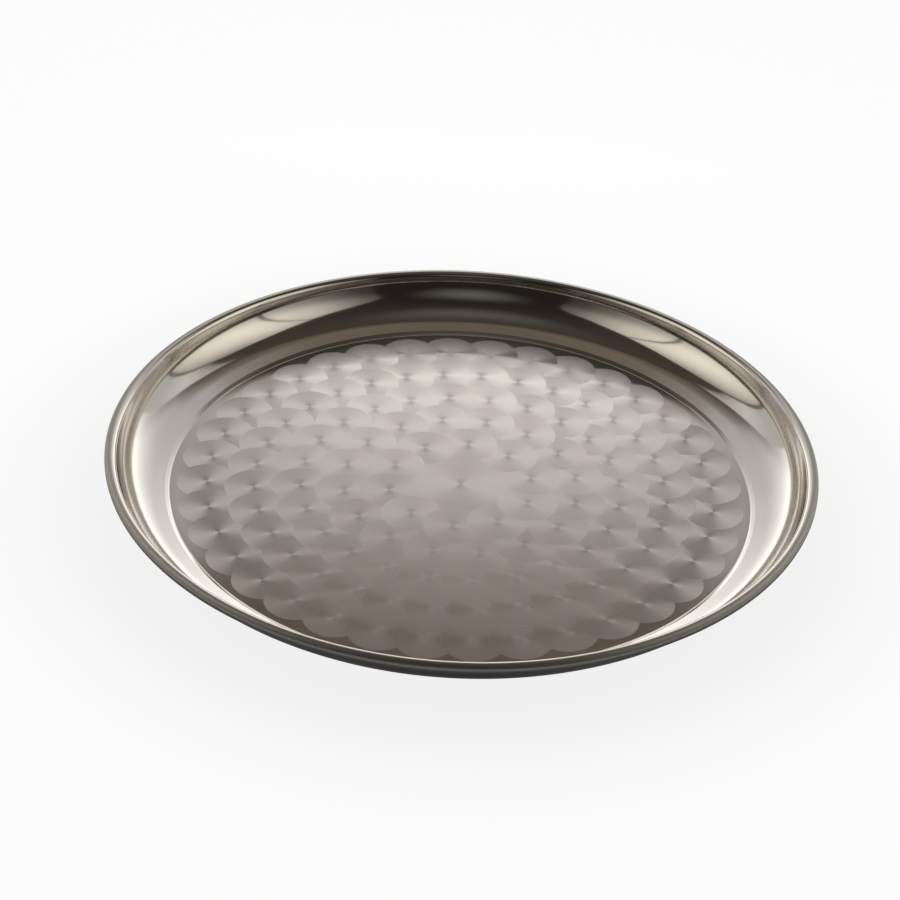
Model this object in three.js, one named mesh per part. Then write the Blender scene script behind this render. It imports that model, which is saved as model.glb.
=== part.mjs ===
// A round steel dinner plate, pressed from one sheet, with its edge rolled over a wire hoop.
// Millimetres, +Z up. The origin is the centre of the underside, where the plate rests.
import * as THREE from 'three';

// Driving dimensions
const rimDiameter = 280; // over the rolled edge
const rimHeight = 20.2; // from the table to the crest of the lip
const sheetThickness = 0.6;
const toeRadius = 0.6; // tight bend up from the floor, on the upper face
const toeSlope = 36; // steepest slope of the small step round the floor, in degrees
const toeCrownRadius = 2.5; // bend from the toe to the straight of the step
const stepSlope = 26;
const stepFlat = 1.3; // straight stretch of the step
const stepTopRadius = 1; // bend from the step to the flared foot of the wall
const footSlope = 12;
const footFlat = 2.9; // straight stretch of the foot
const wallTopSlope = 80; // slope where the cove wall passes into the lip
const lipRadius = 2.6; // rounded lip, on the upper face
const wireDiameter = 2.4;
const wireClearance = 0.3; // between the wire and the sheet rolled round it
const edgeWrap = 225; // how far the edge is rolled round the wire, in degrees

// Fineness of the facets
const turnSegments = 72; // round the plate
const wireSides = 12;
const toeFacets = 2;
const stepTopFacets = 2;
const wallFacets = 10;
const lipFacets = 5;
const edgeFacets = 12;

const sin = (degrees) => Math.sin(THREE.MathUtils.degToRad(degrees));
const cos = (degrees) => Math.cos(THREE.MathUtils.degToRad(degrees));

// Sizes that follow from the driving dimensions
const edgeRadius = wireDiameter / 2 + wireClearance + sheetThickness;
const edgeCentre = new THREE.Vector2(rimDiameter / 2 - edgeRadius, rimHeight - edgeRadius);
const bendRun = (radius, from, to) => radius * Math.abs(sin(to) - sin(from));
const bendRise = (radius, from, to) => radius * Math.abs(cos(to) - cos(from));
const toeRun = bendRun(toeRadius, 0, toeSlope) + bendRun(toeCrownRadius, toeSlope, stepSlope);
const toeRise = bendRise(toeRadius, 0, toeSlope) + bendRise(toeCrownRadius, toeSlope, stepSlope);
const stepRun = stepFlat * cos(stepSlope) + bendRun(stepTopRadius, stepSlope, footSlope);
const stepRise = stepFlat * sin(stepSlope) + bendRise(stepTopRadius, stepSlope, footSlope);
const footRun = footFlat * cos(footSlope);
const footRise = footFlat * sin(footSlope);
const lipRun = bendRun(lipRadius, wallTopSlope, 0);
const lipRise = bendRise(lipRadius, wallTopSlope, 0);
const wallRise = rimHeight - sheetThickness - toeRise - stepRise - footRise - lipRise;
const wallRadius = wallRise / (cos(footSlope) - cos(wallTopSlope));
const wallRun = bendRun(wallRadius, footSlope, wallTopSlope);
const floorRadius = edgeCentre.x - lipRun - wallRun - footRun - stepRun - toeRun;

// One station on the sheet: a point of its upper face, with the slope there in degrees.
const station = (radius, height, slope) => ({ radius, height, slope });

// Adds a bend of the upper face, from the slope where the sheet has got to, to a new slope.
// A rising slope bends the sheet up, and a falling one bends it down and under.
function bend(sheet, bendRadius, toSlope, facets) {
  const from = sheet.at(-1);
  const turn = Math.sign(toSlope - from.slope) * bendRadius;
  for (let i = 1; i <= facets; i += 1) {
    const slope = THREE.MathUtils.lerp(from.slope, toSlope, i / facets);
    const radius = from.radius + turn * (sin(slope) - sin(from.slope));
    const height = from.height + turn * (cos(from.slope) - cos(slope));
    sheet.push(station(radius, height, slope));
  }
}

// Carries the sheet straight on at the slope where it has got to.
function straight(sheet, length) {
  const { radius, height, slope } = sheet.at(-1);
  sheet.push(station(radius + length * cos(slope), height + length * sin(slope), slope));
}

const upperFace = ({ radius, height }) => new THREE.Vector2(radius, height);

// The lower face lies one sheet thickness behind the upper one, square to it.
function lowerFace({ radius, height, slope }) {
  return new THREE.Vector2(radius + sheetThickness * sin(slope), height - sheetThickness * cos(slope));
}

// Turns a profile of (radius, height) points round the upright axis.
function revolve(profile) {
  const geometry = new THREE.LatheGeometry(profile, turnSegments);
  geometry.rotateX(Math.PI / 2);
  return geometry;
}

// The pressed sheet: floor, step, cove wall, lip and the edge rolled under.
function plateGeometry() {
  const sheet = [station(0, sheetThickness, 0), station(floorRadius, sheetThickness, 0)];
  bend(sheet, toeRadius, toeSlope, toeFacets);
  bend(sheet, toeCrownRadius, stepSlope, toeFacets);
  straight(sheet, stepFlat);
  bend(sheet, stepTopRadius, footSlope, stepTopFacets);
  straight(sheet, footFlat);
  bend(sheet, wallRadius, wallTopSlope, wallFacets);
  bend(sheet, lipRadius, 0, lipFacets);
  bend(sheet, edgeRadius, -edgeWrap, edgeFacets);
  return revolve([...sheet.map(lowerFace), ...sheet.map(upperFace).reverse()]);
}

// The wire hoop that the edge is rolled round.
function wireGeometry() {
  const profile = [];
  for (let i = 0; i <= wireSides; i += 1) {
    const angle = (360 * (i % wireSides)) / wireSides;
    const out = new THREE.Vector2(cos(angle), sin(angle));
    profile.push(edgeCentre.clone().addScaledVector(out, wireDiameter / 2));
  }
  return revolve(profile);
}

const plateSteel = new THREE.MeshStandardMaterial({ color: 0xb9b3a8, roughness: 0.22, metalness: 1 });
const wireSteel = new THREE.MeshStandardMaterial({ color: 0x8f8b84, roughness: 0.45, metalness: 1 });

function namedMesh(name, geometry, material) {
  const mesh = new THREE.Mesh(geometry, material);
  mesh.name = name;
  return mesh;
}

const plate = new THREE.Group();
plate.name = 'steel_dinner_plate';
plate.add(namedMesh('plate_body', plateGeometry(), plateSteel));
plate.add(namedMesh('rim_wire', wireGeometry(), wireSteel));

export default plate;
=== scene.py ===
import math

import bmesh
import bpy
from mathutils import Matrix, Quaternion, Vector


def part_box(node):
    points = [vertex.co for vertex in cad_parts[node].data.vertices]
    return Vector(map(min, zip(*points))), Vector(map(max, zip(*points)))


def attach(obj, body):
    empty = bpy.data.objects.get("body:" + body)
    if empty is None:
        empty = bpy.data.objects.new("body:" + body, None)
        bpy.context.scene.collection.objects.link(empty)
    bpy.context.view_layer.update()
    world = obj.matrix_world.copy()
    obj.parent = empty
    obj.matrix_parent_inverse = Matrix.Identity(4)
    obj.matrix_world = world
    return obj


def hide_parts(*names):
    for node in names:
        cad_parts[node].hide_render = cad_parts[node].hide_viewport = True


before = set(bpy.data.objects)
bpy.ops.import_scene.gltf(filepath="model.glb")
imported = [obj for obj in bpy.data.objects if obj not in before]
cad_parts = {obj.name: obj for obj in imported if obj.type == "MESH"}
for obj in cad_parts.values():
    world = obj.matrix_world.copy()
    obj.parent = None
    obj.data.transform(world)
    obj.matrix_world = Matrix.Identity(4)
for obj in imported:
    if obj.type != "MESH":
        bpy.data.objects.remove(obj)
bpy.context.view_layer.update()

print("frame loaded:", sorted(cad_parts))


# node helpers, shared by every finish

def plug(tree, socket, value):
    if isinstance(value, bpy.types.NodeSocket):
        tree.links.new(value, socket)
    else:
        socket.default_value = value


def mathNode(tree, operation, *values):
    node = tree.nodes.new("ShaderNodeMath")
    node.operation = operation
    for socket, value in zip(node.inputs, values):
        plug(tree, socket, value)
    return node.outputs[0]


def vectorNode(tree, operation, *values):
    node = tree.nodes.new("ShaderNodeVectorMath")
    node.operation = operation
    for socket, value in zip(node.inputs, values):
        plug(tree, socket, value)
    return node.outputs["Value" if operation == "LENGTH" else "Vector"]


def combineNode(tree, x, y, z):
    node = tree.nodes.new("ShaderNodeCombineXYZ")
    for socket, value in zip(node.inputs, (x, y, z)):
        plug(tree, socket, value)
    return node.outputs["Vector"]


def mixNode(tree, kind, factor, first, second):
    node = tree.nodes.new("ShaderNodeMix")
    node.data_type = kind
    sockets = {s.name: s for s in node.inputs if s.enabled}
    plug(tree, sockets["Factor"], factor)
    plug(tree, sockets["A"], first)
    plug(tree, sockets["B"], second)
    return next(s for s in node.outputs if s.enabled)


def rangeNode(tree, value, fromMin, fromMax, toMin, toMax, smooth=False):
    node = tree.nodes.new("ShaderNodeMapRange")
    node.interpolation_type = "SMOOTHSTEP" if smooth else "LINEAR"
    for socket, number in zip(node.inputs, (value, fromMin, fromMax, toMin, toMax)):
        plug(tree, socket, number)
    return node.outputs["Result"]


def splitNode(tree, place):
    node = tree.nodes.new("ShaderNodeSeparateXYZ")
    tree.links.new(place, node.inputs[0])
    return node.outputs


def objectPlace(tree):
    return tree.nodes.new("ShaderNodeTexCoord").outputs["Object"]


def radiusNode(tree, place):
    # distance from the plate's axis
    return vectorNode(tree, "LENGTH", vectorNode(tree, "MULTIPLY", place, (1.0, 1.0, 0.0)))


def noiseNode(tree, place, scale, detail):
    node = tree.nodes.new("ShaderNodeTexNoise")
    node.inputs["Scale"].default_value = scale
    node.inputs["Detail"].default_value = detail
    tree.links.new(place, node.inputs["Vector"])
    return node.outputs["Fac"]


def luckNode(tree, place):
    node = tree.nodes.new("ShaderNodeTexWhiteNoise")
    tree.links.new(place, node.inputs["Vector"])
    return node.outputs["Value"]


def bumpNode(tree, height, distance, normal=None):
    node = tree.nodes.new("ShaderNodeBump")
    node.inputs["Strength"].default_value = 1.0
    node.inputs["Distance"].default_value = distance
    tree.links.new(height, node.inputs["Height"])
    if normal is not None:
        tree.links.new(normal, node.inputs["Normal"])
    return node.outputs["Normal"]


def newFinish(name):
    finish = bpy.data.materials.new(name)
    finish.use_nodes = True
    tree = finish.node_tree
    shader = tree.nodes["Principled BSDF"]
    shader.inputs["Metallic"].default_value = 1.0
    return finish, tree, shader, objectPlace(tree)


# the pressed sheet: floor, step, cove wall, lip and rolled edge, all sizes in metres

plateSheet = {
    "sheetThickness": 0.0006,
    "toeBend": 0.0006,  # tight bend up from the floor
    "toeSlope": 36.0,  # steepest slope of the small step round the floor
    "toeCrown": 0.0025,  # bend from the toe to the straight of the step
    "stepSlope": 26.0,
    "stepFlat": 0.0013,
    "stepTop": 0.001,  # bend from the step to the flared foot of the wall
    "footSlope": 16.0,
    "footFlat": 0.0045,
    "wallTopSlope": 80.0,  # where the wall passes into the lip
    "lipBend": 0.0026,
    "edgeBend": 0.0021,  # the edge rolled over its wire
    "edgeWrap": 225.0,
    "floorRings": (0.25, 0.5, 0.75, 0.98, 1.0),
    "facetAngle": 4.0,  # degrees of bend between two rings
    "leastFacets": 3,  # in a bend
    "turnSteps": 240,
    "sharpAngle": 40.0,
}

mergeGap = 0.000001  # vertices closer than this are one
upright = Quaternion((1, 0, 0), math.pi / 2).to_matrix()  # stands a flat shape up
floorFinish, wallFinish, undersideFinish = range(3)
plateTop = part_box("plate_body")[1]
rimRadius = plateTop.x
rimHeight = plateTop.z


def bendReach(radius, slope, newSlope):
    first, last = math.radians(slope), math.radians(newSlope)
    run = radius * abs(math.sin(last) - math.sin(first))
    return Vector((run, radius * abs(math.cos(last) - math.cos(first))))


def flatReach(length, slope):
    tilt = math.radians(slope)
    return Vector((length * math.cos(tilt), length * math.sin(tilt)))


def sheetSizes(sheet):
    # the cove wall takes up the height that the step, the foot and the lip leave,
    # and the floor takes up the radius
    toe = bendReach(sheet["toeBend"], 0.0, sheet["toeSlope"])
    toe += bendReach(sheet["toeCrown"], sheet["toeSlope"], sheet["stepSlope"])
    step = flatReach(sheet["stepFlat"], sheet["stepSlope"])
    step += bendReach(sheet["stepTop"], sheet["stepSlope"], sheet["footSlope"])
    foot = flatReach(sheet["footFlat"], sheet["footSlope"])
    lip = bendReach(sheet["lipBend"], sheet["wallTopSlope"], 0.0)
    run, rise = toe + step + foot + lip
    unitRun, unitRise = bendReach(1.0, sheet["footSlope"], sheet["wallTopSlope"])
    wallBend = (rimHeight - sheet["sheetThickness"] - rise) / unitRise
    return wallBend, rimRadius - sheet["edgeBend"] - run - wallBend * unitRun


wallBend, floorRadius = sheetSizes(plateSheet)


def bendSheet(bm, end, slope, newSlope, radius):
    turn = newSlope - slope
    tilt = math.radians(slope)
    up = Vector((-math.sin(tilt), 0.0, math.cos(tilt)))
    middle = end.co + up * math.copysign(radius, turn)
    facets = max(plateSheet["leastFacets"], round(abs(turn) / plateSheet["facetAngle"]))
    bent = bmesh.ops.spin(
        bm, geom=[end], cent=middle, axis=(0, 1, 0), angle=math.radians(-turn), steps=facets,
    )
    return next(v for v in bent["geom_last"] if isinstance(v, bmesh.types.BMVert))


def drawSheet(bm, end, slope, length):
    drawn = bmesh.ops.extrude_vert_indiv(bm, verts=[end])["verts"]
    tilt = math.radians(slope)
    ahead = Vector((math.cos(tilt), 0.0, math.sin(tilt)))
    bmesh.ops.translate(bm, verts=drawn, vec=ahead * length)
    return drawn[0]


def turnRound(bm, steps):
    # a full turn about the plate's axis, closed
    bmesh.ops.spin(
        bm, geom=bm.verts[:] + bm.edges[:], cent=(0, 0, 0), axis=(0, 0, 1),
        angle=2 * math.pi, steps=steps, use_merge=True,
    )
    bmesh.ops.remove_doubles(bm, verts=bm.verts, dist=mergeGap)
    bmesh.ops.recalc_face_normals(bm, faces=bm.faces)


def newPiece(name, bm):
    mesh = bpy.data.meshes.new(name)
    bm.to_mesh(mesh)
    bm.free()
    piece = bpy.data.objects.new(name, mesh)
    bpy.context.scene.collection.objects.link(piece)
    return piece


def makePlate():
    sheet = plateSheet
    bm = bmesh.new()
    end = bm.verts.new((0.0, 0.0, sheet["sheetThickness"]))
    for ring, share in enumerate(sheet["floorRings"]):
        inner = sheet["floorRings"][ring - 1] if ring else 0.0
        end = drawSheet(bm, end, 0.0, floorRadius * (share - inner))
    bends = (  # slope to bend to, radius of the bend, straight stretch after it
        (sheet["toeSlope"], sheet["toeBend"], 0.0),
        (sheet["stepSlope"], sheet["toeCrown"], sheet["stepFlat"]),
        (sheet["footSlope"], sheet["stepTop"], sheet["footFlat"]),
        (sheet["wallTopSlope"], wallBend, 0.0),
        (0.0, sheet["lipBend"], 0.0),
        (-sheet["edgeWrap"], sheet["edgeBend"], 0.0),
    )
    slope = 0.0
    for newSlope, radius, straight in bends:
        end = bendSheet(bm, end, slope, newSlope, radius)
        slope = newSlope
        if straight > 0:
            end = drawSheet(bm, end, slope, straight)
    turnRound(bm, sheet["turnSteps"])
    middle = min(bm.faces, key=lambda f: f.calc_center_median().to_2d().length)
    if middle.normal.z < 0:
        bmesh.ops.reverse_faces(bm, faces=bm.faces)
    for face in bm.faces:
        onFloor = face.calc_center_median().to_2d().length < floorRadius
        face.material_index = floorFinish if onFloor else wallFinish
    upper = set(bm.faces)
    bmesh.ops.solidify(bm, geom=bm.faces[:], thickness=sheet["sheetThickness"])
    for face in bm.faces:
        face.smooth = True
        if face not in upper:
            face.material_index = undersideFinish
    for edge in bm.edges:
        edge.smooth = edge.calc_face_angle(0.0) < math.radians(sheet["sharpAngle"])
    return newPiece("plate", bm)


plate = makePlate()
print("plate pressed:", len(plate.data.polygons), "faces, floor radius", round(floorRadius, 5))


# the wire hoop inside the rolled edge

rimWire = {
    "wireDiameter": 0.0024,
    "sides": 16,
    "turnSteps": 240,
    "steelColour": (0.4, 0.39, 0.37, 1.0),
    "scaleColour": (0.22, 0.2, 0.185, 1.0),  # traces of scale from the drawing
    "scaleWidth": 0.004,
    "scaleSpan": (0.45, 0.7),  # of the noise, from clean to scaled
    "roughness": (0.35, 0.55),  # clean, and with scale
}


def makeWire():
    bm = bmesh.new()
    wireRadius = rimWire["wireDiameter"] / 2
    ring = bmesh.ops.create_circle(bm, segments=rimWire["sides"], radius=wireRadius)
    bmesh.ops.rotate(bm, verts=ring["verts"], cent=(0, 0, 0), matrix=upright)
    inset = plateSheet["edgeBend"]
    seat = (rimRadius - inset, 0.0, rimHeight - inset)
    bmesh.ops.translate(bm, verts=ring["verts"], vec=seat)
    turnRound(bm, rimWire["turnSteps"])
    for face in bm.faces:
        face.smooth = True
    return newPiece("rim_hoop", bm)


def wireSteel():
    finish, tree, shader, place = newFinish("drawn wire steel")
    scale = noiseNode(tree, place, 1 / rimWire["scaleWidth"], detail=3.0)
    scaled = rangeNode(tree, scale, *rimWire["scaleSpan"], 0.0, 1.0, smooth=True)
    colour = mixNode(tree, "RGBA", scaled, rimWire["steelColour"], rimWire["scaleColour"])
    tree.links.new(colour, shader.inputs["Base Color"])
    roughness = rangeNode(tree, scaled, 0.0, 1.0, *rimWire["roughness"])
    tree.links.new(roughness, shader.inputs["Roughness"])
    return finish


wire = makeWire()
print("wire rolled:", len(wire.data.polygons), "faces")


# the engine-turned floor: rings of round brushed spots, each ring lapping over the one outside it

turnedFloor = {
    "spotRadius": 0.012,
    "rings": (  # radius of the ring, spots in it, azimuth of one spot in degrees
        (0.1008, 36, 4.4),
        (0.0821, 32, 299.4),
        (0.0638, 24, 66.0),
        (0.0467, 16, 78.6),
        (0.0289, 10, 85.6),
    ),
    "spotFade": 0.0003,  # width of the edge of a spot
    "brushedColours": ((0.655, 0.62, 0.58, 1.0), (0.625, 0.59, 0.55, 1.0)),  # from spot to spot
    "plainColour": (0.56, 0.525, 0.48, 1.0),  # between the spots, as the sheet was rolled
    "brushedRoughness": (0.225, 0.31),  # over a spot, and in its middle
    "pressRoughness": 0.015,  # no two spots were pressed alike
    "spotMiddle": 0.005,
    "anisotropy": 0.92,
    "grooveRoughness": 0.015,  # how far the grooves of the brush vary it
    "grooveWidth": 0.0008,
    "grooveSpan": (0.3, 0.7),  # of the noise that makes them
    "plainRoughness": 0.1,
    "plainReach": (0.094, 0.1),  # inside this ring the spots leave nothing bare
    "crown": 0.0023,  # the floor stands this much higher in its middle, in its reflections
    "waveWidth": 0.045,  # and isn't quite even
    "waveDepth": 0.0003,
}


def spotNodes(tree, place):
    # for each point: the way from the middle of the topmost spot on it, how that spot
    # was pressed, and how bare of spots the point is
    flat = vectorNode(tree, "MULTIPLY", place, (1.0, 1.0, 0.0))
    split = splitNode(tree, place)
    azimuth = mathNode(tree, "ARCTAN2", split["Y"], split["X"])
    rim = turnedFloor["spotRadius"]
    edge = (rim - turnedFloor["spotFade"], rim)
    way = flat
    press = 0.5
    bare = 1.0
    for ringRadius, count, startDegrees in turnedFloor["rings"]:
        spacing = 2 * math.pi / count
        start = math.radians(startDegrees)
        turns = mathNode(tree, "DIVIDE", mathNode(tree, "SUBTRACT", azimuth, start), spacing)
        before = mathNode(tree, "FLOOR", turns)
        for ahead in (0, 1):  # each spot lies over the one before it
            angle = mathNode(tree, "MULTIPLY_ADD", before, spacing, start + ahead * spacing)
            across = mathNode(tree, "MULTIPLY", mathNode(tree, "COSINE", angle), ringRadius)
            along = mathNode(tree, "MULTIPLY", mathNode(tree, "SINE", angle), ringRadius)
            fromMiddle = vectorNode(tree, "SUBTRACT", flat, combineNode(tree, across, along, 0.0))
            distance = vectorNode(tree, "LENGTH", fromMiddle)
            inside = rangeNode(tree, distance, *edge, 1.0, 0.0, smooth=True)
            way = mixNode(tree, "VECTOR", inside, way, fromMiddle)
            number = mathNode(tree, "ADD", before, ahead)
            number = mathNode(tree, "FLOORED_MODULO", number, count)
            luck = luckNode(tree, combineNode(tree, number, count, 0.0))
            press = mixNode(tree, "FLOAT", inside, press, luck)
            bare = mathNode(tree, "MULTIPLY", bare, mathNode(tree, "SUBTRACT", 1.0, inside))
    return way, press, bare


def turnedSteel():
    finish, tree, shader, place = newFinish("engine turned steel")
    radius = radiusNode(tree, place)
    way, press, bare = spotNodes(tree, place)
    outer = rangeNode(tree, radius, *turnedFloor["plainReach"], 0.0, 1.0, smooth=True)
    plain = mathNode(tree, "MULTIPLY", bare, outer)
    colour = mixNode(tree, "RGBA", press, *turnedFloor["brushedColours"])
    colour = mixNode(tree, "RGBA", plain, colour, turnedFloor["plainColour"])
    tree.links.new(colour, shader.inputs["Base Color"])
    fromSpot = vectorNode(tree, "LENGTH", way)
    middle = turnedFloor["spotMiddle"]
    overSpot, inMiddle = turnedFloor["brushedRoughness"]
    brushed = rangeNode(tree, fromSpot, 0.0, middle, inMiddle, overSpot, smooth=True)
    acrossSpot = combineNode(tree, fromSpot, 0.0, 0.0)
    groove = noiseNode(tree, acrossSpot, 1 / turnedFloor["grooveWidth"], detail=3.0)
    uneven = turnedFloor["grooveRoughness"]
    uneven = rangeNode(tree, groove, *turnedFloor["grooveSpan"], -uneven, uneven)
    brushed = mathNode(tree, "ADD", brushed, uneven)
    pressed = turnedFloor["pressRoughness"]
    pressed = rangeNode(tree, press, 0.0, 1.0, -pressed, pressed)
    brushed = mathNode(tree, "ADD", brushed, pressed)
    roughness = mixNode(tree, "FLOAT", plain, brushed, turnedFloor["plainRoughness"])
    tree.links.new(roughness, shader.inputs["Roughness"])
    shader.inputs["Anisotropic"].default_value = turnedFloor["anisotropy"]
    share = mathNode(tree, "DIVIDE", radius, floorRadius)
    fall = mathNode(tree, "MULTIPLY", share, share)
    crown = mathNode(tree, "MULTIPLY", fall, -turnedFloor["crown"])
    wave = noiseNode(tree, place, 1 / turnedFloor["waveWidth"], detail=1.0)
    form = mathNode(tree, "MULTIPLY_ADD", wave, turnedFloor["waveDepth"], crown)
    tree.links.new(bumpNode(tree, form, 1.0), shader.inputs["Normal"])
    tree.links.new(vectorNode(tree, "NORMALIZE", way), shader.inputs["Tangent"])
    return finish


# the mirror-polished wall, lip and edge

polishedWall = {
    "steelColour": (0.66, 0.63, 0.59, 1.0),
    "roughness": (0.06, 0.12),  # clean, and where it is smudged
    "smudgeScale": 18.0,
    "smudgeSpan": (0.35, 0.7),  # of the noise, from clean to smudged
    "bandReach": (0.1371, 0.1384),  # the satin band over the crest of the lip
    "bandColour": (0.37, 0.35, 0.325, 1.0),
    "bandRoughness": 0.45,
    "paintedShadeColour": (0.13, 0.12, 0.11, 1.0),  # painted shade and reflection: the lower part of the rolled edge darkened as if it reflected a dark floor
    "paintedShadeHeights": (0.0181, 0.0194),
    "waveWidth": 0.035,  # the pressed sheet isn't quite true
    "waveDepth": 0.0002,
    "lineWidth": 0.0006,  # fine lines that the polishing wheel left round the wall
    "lineDepth": 0.0000015,
}


def polishedSteel():
    finish, tree, shader, place = newFinish("polished steel")
    radius = radiusNode(tree, place)
    height = splitNode(tree, place)["Z"]
    band = rangeNode(tree, radius, *polishedWall["bandReach"], 0.0, 1.0, smooth=True)
    # painted shade: the rolled edge is darker below these heights, a painted dark reflection
    unmarked = rangeNode(tree, height, *polishedWall["paintedShadeHeights"], 0.0, 1.0, smooth=True)
    edge = mixNode(tree, "RGBA", unmarked, polishedWall["paintedShadeColour"], polishedWall["bandColour"])
    colour = mixNode(tree, "RGBA", band, polishedWall["steelColour"], edge)
    tree.links.new(colour, shader.inputs["Base Color"])
    smudge = noiseNode(tree, place, polishedWall["smudgeScale"], detail=4.0)
    polish = rangeNode(tree, smudge, *polishedWall["smudgeSpan"], *polishedWall["roughness"])
    roughness = mixNode(tree, "FLOAT", band, polish, polishedWall["bandRoughness"])
    tree.links.new(roughness, shader.inputs["Roughness"])
    wave = noiseNode(tree, place, 1 / polishedWall["waveWidth"], detail=1.0)
    uneven = bumpNode(tree, wave, polishedWall["waveDepth"])
    section = combineNode(tree, radius, 0.0, height)
    lines = noiseNode(tree, section, 1 / polishedWall["lineWidth"], detail=2.0)
    lined = bumpNode(tree, lines, polishedWall["lineDepth"], normal=uneven)
    tree.links.new(lined, shader.inputs["Normal"])
    return finish


# the underside, as the sheet came from the mill

millUnderside = {
    "steelColour": (0.36, 0.345, 0.325, 1.0),
    "roughness": (0.32, 0.48),  # clean, and where it was handled
    "paintedShadeColour": (0.13, 0.12, 0.11, 1.0),
    "paintedShadeHeights": (0.003, 0.009),  # the painted shade under the rolled edge thins out downwards
    "smudgeColour": (0.27, 0.26, 0.245, 1.0),  # where it was handled
    "smudgeWidth": 0.03,
    "smudgeSpan": (0.4, 0.7),  # of the noise, from clean to handled
    "lineWidth": 0.0011,  # fine rings from the spinning of the sheet
    "lineDepth": 0.000004,
}


def millSteel():
    finish, tree, shader, place = newFinish("mill steel")
    radius = radiusNode(tree, place)
    height = splitNode(tree, place)["Z"]
    smudge = noiseNode(tree, place, 1 / millUnderside["smudgeWidth"], detail=4.0)
    handled = rangeNode(tree, smudge, *millUnderside["smudgeSpan"], 0.0, 1.0, smooth=True)
    unmarked, smudged = millUnderside["steelColour"], millUnderside["smudgeColour"]
    steel = mixNode(tree, "RGBA", handled, unmarked, smudged)
    # painted shade: the outer wall is darker towards the rolled edge, fading out downwards
    paintedShade = rangeNode(tree, height, *millUnderside["paintedShadeHeights"], 0.0, 1.0, smooth=True)
    colour = mixNode(tree, "RGBA", paintedShade, steel, millUnderside["paintedShadeColour"])
    tree.links.new(colour, shader.inputs["Base Color"])
    roughness = rangeNode(tree, handled, 0.0, 1.0, *millUnderside["roughness"])
    tree.links.new(roughness, shader.inputs["Roughness"])
    section = combineNode(tree, radius, 0.0, height)
    rings = noiseNode(tree, section, 1 / millUnderside["lineWidth"], detail=2.0)
    tree.links.new(bumpNode(tree, rings, millUnderside["lineDepth"]), shader.inputs["Normal"])
    return finish


# in the order of the finishes' numbers on the faces
for finish in (turnedSteel(), polishedSteel(), millSteel()):
    plate.data.materials.append(finish)
wire.data.materials.append(wireSteel())

pieces = ((plate, "plate_body", "plate_steel"), (wire, "rim_wire", "wire_steel"))
for piece, node, slot in pieces:
    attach(piece, "root")
    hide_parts(node)
print("finishes applied")


# the studio: a pale floor, a white sheet hung behind the plate with a wing on each side,
# a soft box to the left and right, and over them a dark tent with two soft glows in it

studio = {
    "floorSize": 8.0,
    "backdropColour": (1.0, 1.0, 1.0, 1.0),
    "floorDrop": 0.0002,  # keeps the floor and the base of the plate off one plane
    "floorColour": (0.88, 0.88, 0.87, 1.0),
    "floorGlow": (0.86, 0.97),  # share of plain white in it, near the plate and far away
    "mirroredGlow": 0.12,  # near the plate, as the metal shows it
    "floorGlowReach": (0.13, 0.21),
    "sheetAway": 0.3,  # the hung sheet, behind the middle of the plate
    "sheetTop": 0.46,
    "sheetReach": 0.175,  # half its width
    "sheetAside": ((0.06, 0.175), (1.0, 0.62)),  # it is darker towards its sides
    "sheetRamp": (  # height on the sheet in metres, its brightness there
        (0.0, (1.75, 1.73, 1.69, 1.0)),
        (0.06, (1.7, 1.68, 1.64, 1.0)),
        (0.095, (1.36, 1.35, 1.32, 1.0)),
        (0.13, (1.1, 1.09, 1.06, 1.0)),
        (0.2, (0.74, 0.73, 0.71, 1.0)),
        (0.26, (0.56, 0.55, 0.53, 1.0)),
        (0.29, (0.3, 0.28, 0.25, 1.0)),
        (0.33, (0.2, 0.173, 0.135, 1.0)),
        (0.4, (0.15, 0.128, 0.096, 1.0)),
        (0.46, (0.12, 0.103, 0.078, 1.0)),
    ),
    "wingReach": (0.175, 0.42),  # the sheets beside it
    "wingRamp": (
        (0.0, (0.6, 0.59, 0.57, 1.0)),
        (0.15, (0.6, 0.59, 0.57, 1.0)),
        (0.3, (0.76, 0.75, 0.72, 1.0)),
        (0.38, (0.6, 0.58, 0.54, 1.0)),
        (0.46, (0.3, 0.28, 0.25, 1.0)),
    ),
    "tentRadius": 3.0,
    "tentSegments": (48, 24),  # round it, and from its foot to its top
    "tentColours": (  # at the front, and at the back
        (0.022, 0.018, 0.017, 1.0),
        (0.07, 0.06, 0.047, 1.0),
    ),
    "tentChange": (-0.8, 0.45),  # where it goes from the one to the other
    "tentGlows": (  # over the camera and overhead: elevation in degrees, brightness there
        (35.0, (0.15, 0.143, 0.134, 1.0)),
        (88.0, (0.12, 0.115, 0.107, 1.0)),
    ),
    "tentGlowReach": 1.15,
    "boxColour": (1.0, 0.94, 0.83, 1.0),
    "boxAlong": (  # place from the front to the back, brightness there
        (-0.4, 0.1), (-0.3, 0.18), (-0.2, 0.4), (-0.1, 0.78), (-0.02, 1.05),
        (0.06, 1.2), (0.12, 1.1), (0.17, 0.92), (0.23, 0.6),
    ),
    "boxUp": (  # height above the brightest line, share of the brightness there
        (-0.25, 0.42), (-0.17, 0.54), (-0.13, 0.68), (-0.09, 0.84), (-0.03, 1.0),
        (0.02, 1.0), (0.1, 0.92), (0.2, 0.78), (0.3, 0.58),
    ),
    "boxLine": (0.2, -0.6),  # height of the brightest line, and how it falls to the back
    "boxCorner": 0.12,
    "boxSegments": 24,
    "boxAway": 0.3,
    "boxBottom": 0.045,
    "boxTop": 0.49,
    "boxPanels": ((-0.4, -0.022), (-0.012, 0.23)),  # front to back, with a seam between
}


def towardsFront(elevationDegrees):
    elevation = math.radians(elevationDegrees)
    return Vector((0.0, -math.cos(elevation), math.sin(elevation)))


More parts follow.
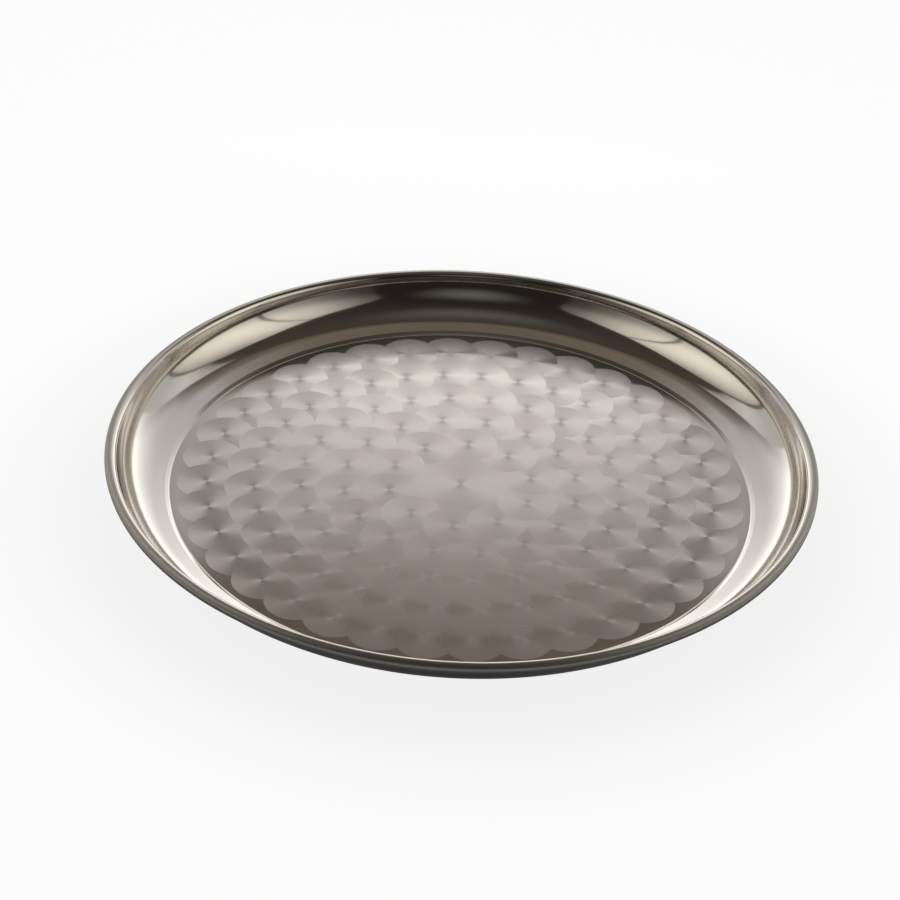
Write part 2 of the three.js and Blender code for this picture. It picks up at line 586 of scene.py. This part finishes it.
def rampNode(tree, value, stops):
    node = tree.nodes.new("ShaderNodeValToRGB")
    elements = node.color_ramp.elements
    first, last = stops[0][0], stops[-1][0]
    for i, (position, level) in enumerate(stops):
        stop = elements[i] if i < 2 else elements.new(1.0)
        stop.position = (position - first) / (last - first)
        stop.color = level if isinstance(level, tuple) else (level, level, level, 1.0)
    tree.links.new(rangeNode(tree, value, first, last, 0.0, 1.0), node.inputs["Fac"])
    return node.outputs["Color"]


def stageMaterial(name):
    material = bpy.data.materials.new(name)
    material.use_nodes = True
    tree = material.node_tree
    tree.nodes.clear()
    mix = tree.nodes.new("ShaderNodeMixShader")
    out = tree.nodes.new("ShaderNodeOutputMaterial")
    tree.links.new(mix.outputs[0], out.inputs["Surface"])
    return material, tree, mix, tree.nodes.new("ShaderNodeLightPath").outputs


def stagePiece(name, bm, material):
    piece = newPiece(name, bm)
    piece.data.materials.append(material)


def makeFloor():
    bm = bmesh.new()
    bmesh.ops.create_grid(bm, x_segments=1, y_segments=1, size=studio["floorSize"] / 2)
    bmesh.ops.translate(bm, verts=bm.verts, vec=(0.0, 0.0, -studio["floorDrop"]))
    paper, tree, mix, path = stageMaterial("studio paper")
    away = vectorNode(tree, "LENGTH", objectPlace(tree))
    reach = studio["floorGlowReach"]
    near, far = studio["floorGlow"]
    seen = mathNode(tree, "MAXIMUM", path["Is Camera Ray"], path["Is Transmission Ray"])
    glow = rangeNode(tree, away, *reach, near, far, smooth=True)
    seen = mathNode(tree, "MULTIPLY", seen, glow)
    glow = rangeNode(tree, away, *reach, studio["mirroredGlow"], far, smooth=True)
    mirrored = mathNode(tree, "MULTIPLY", path["Is Glossy Ray"], glow)
    tree.links.new(mathNode(tree, "MAXIMUM", seen, mirrored), mix.inputs[0])
    diffuse = tree.nodes.new("ShaderNodeBsdfDiffuse")
    diffuse.inputs["Color"].default_value = studio["floorColour"]
    tree.links.new(diffuse.outputs[0], mix.inputs[1])
    tree.links.new(tree.nodes.new("ShaderNodeEmission").outputs[0], mix.inputs[2])
    stagePiece("studio_floor", bm, paper)


def glowingCloth(name):
    # a lit cloth that the camera itself doesn't see
    cloth, tree, mix, path = stageMaterial(name)
    tree.links.new(path["Is Camera Ray"], mix.inputs[0])
    glow = tree.nodes.new("ShaderNodeEmission")
    tree.links.new(glow.outputs[0], mix.inputs[1])
    tree.links.new(tree.nodes.new("ShaderNodeBsdfTransparent").outputs[0], mix.inputs[2])
    return cloth, tree, glow, objectPlace(tree)


def makeHungSheet(name, left, right, ramp):
    bm = bmesh.new()
    height = studio["sheetTop"]
    bmesh.ops.create_grid(bm, x_segments=1, y_segments=1, size=0.5)
    bmesh.ops.scale(bm, verts=bm.verts, vec=(right - left, height, 1.0))
    bmesh.ops.rotate(bm, verts=bm.verts, cent=(0, 0, 0), matrix=upright)
    middle = ((left + right) / 2, studio["sheetAway"], height / 2)
    bmesh.ops.translate(bm, verts=bm.verts, vec=middle)
    cloth, tree, glow, place = glowingCloth(name)
    at = splitNode(tree, place)
    tree.links.new(rampNode(tree, at["Z"], ramp), glow.inputs["Color"])
    if left < 0 < right:
        aside = mathNode(tree, "ABSOLUTE", at["X"])
        reach, shade = studio["sheetAside"]
        shade = rangeNode(tree, aside, *reach, *shade, smooth=True)
        tree.links.new(shade, glow.inputs["Strength"])
    stagePiece(name, bm, cloth)


def makeSheets():
    reach = studio["sheetReach"]
    near, far = studio["wingReach"]
    makeHungSheet("hung_sheet", -reach, reach, studio["sheetRamp"])
    makeHungSheet("sheet_wing_left", -far, -near, studio["wingRamp"])
    makeHungSheet("sheet_wing_right", near, far, studio["wingRamp"])


def makeTent():
    bm = bmesh.new()
    radius = studio["tentRadius"]
    around, upwards = studio["tentSegments"]
    bmesh.ops.create_uvsphere(bm, u_segments=around, v_segments=upwards, radius=radius)
    cloth, tree, glow, place = glowingCloth("studio_tent")
    cloth.cycles.emission_sampling = "NONE"
    back = mathNode(tree, "DIVIDE", splitNode(tree, place)["Y"], radius)
    back = rangeNode(tree, back, *studio["tentChange"], 0.0, 1.0, smooth=True)
    colour = mixNode(tree, "RGBA", back, *studio["tentColours"])
    for elevation, level in studio["tentGlows"]:
        middle = towardsFront(elevation) * radius
        away = vectorNode(tree, "LENGTH", vectorNode(tree, "SUBTRACT", place, middle))
        lit = rangeNode(tree, away, 0.0, studio["tentGlowReach"], 1.0, 0.0, smooth=True)
        colour = mixNode(tree, "RGBA", lit, colour, level)
    tree.links.new(colour, glow.inputs["Color"])
    stagePiece("studio_tent", bm, cloth)


def makeWorld():
    world = bpy.data.worlds.new("studio")
    bpy.context.scene.world = world
    world.use_nodes = True
    background = world.node_tree.nodes["Background"]
    background.inputs["Color"].default_value = studio["backdropColour"]


def boxMaterial():
    cloth, tree, glow, place = glowingCloth("soft_box")
    at = splitNode(tree, place)
    lineHeight, lineFall = studio["boxLine"]
    line = mathNode(tree, "MULTIPLY_ADD", at["Y"], lineFall, lineHeight)
    up = rampNode(tree, mathNode(tree, "SUBTRACT", at["Z"], line), studio["boxUp"])
    along = rampNode(tree, at["Y"], studio["boxAlong"])
    glow.inputs["Color"].default_value = studio["boxColour"]
    tree.links.new(mathNode(tree, "MULTIPLY", up, along), glow.inputs["Strength"])
    return cloth


def boxTopAt(y):
    # the outer top corners of a pair of panels are rounded
    front, back = studio["boxPanels"][0][0], studio["boxPanels"][-1][1]
    corner = studio["boxCorner"]
    past = max(0.0, corner - (y - front), corner - (back - y))
    return studio["boxTop"] - corner + math.sqrt(corner ** 2 - min(past, corner) ** 2)


def makeBoxes():
    cloth = boxMaterial()
    segments = studio["boxSegments"]
    for side, sign in (("left", -1), ("right", 1)):
        for panel, (front, back) in enumerate(studio["boxPanels"]):
            bm = bmesh.new()
            bmesh.ops.create_grid(bm, x_segments=segments, y_segments=1, size=0.5)
            for vert in bm.verts:
                y = front + (back - front) * (vert.co.x + 0.5)
                z = boxTopAt(y) if vert.co.y > 0 else studio["boxBottom"]
                vert.co = Vector((sign * studio["boxAway"], y, z))
            stagePiece("soft_box_" + side + "_" + str(panel), bm, cloth)


makeFloor()
makeSheets()
makeTent()
makeWorld()
makeBoxes()
print("studio lit")


# the camera, at the photograph's viewing angle

photoView = {
    "imageSize": 900,
    "sensorWidth": 36.0,
    "focalPixels": 2340.0,
    "distance": 0.9333,
    "clipStart": 0.01,
    "elevation": 34.46,
    "roll": 3.16,
    "middlePixel": (460.8, 483.9),  # where the middle of the plate's floor shows
}


def makeCamera():
    size = photoView["imageSize"]
    data = bpy.data.cameras.new("photo_camera")
    data.sensor_width = photoView["sensorWidth"]
    data.lens = photoView["focalPixels"] / size * photoView["sensorWidth"]
    data.shift_x = (size / 2 - photoView["middlePixel"][0]) / size
    data.shift_y = (photoView["middlePixel"][1] - size / 2) / size
    data.clip_start = photoView["clipStart"]
    camera = bpy.data.objects.new("photo_camera", data)
    middle = Vector((0.0, 0.0, plateSheet["sheetThickness"]))
    towards = towardsFront(photoView["elevation"])
    camera.location = middle + towards * photoView["distance"]
    roll = Quaternion((0.0, 0.0, 1.0), math.radians(photoView["roll"]))
    camera.rotation_euler = (towards.to_track_quat("Z", "Y") @ roll).to_euler()
    bpy.context.scene.collection.objects.link(camera)
    bpy.context.scene.camera = camera


makeCamera()
bpy.context.scene.view_settings.view_transform = "Standard"
print("camera placed")

bpy.context.view_layer.update()
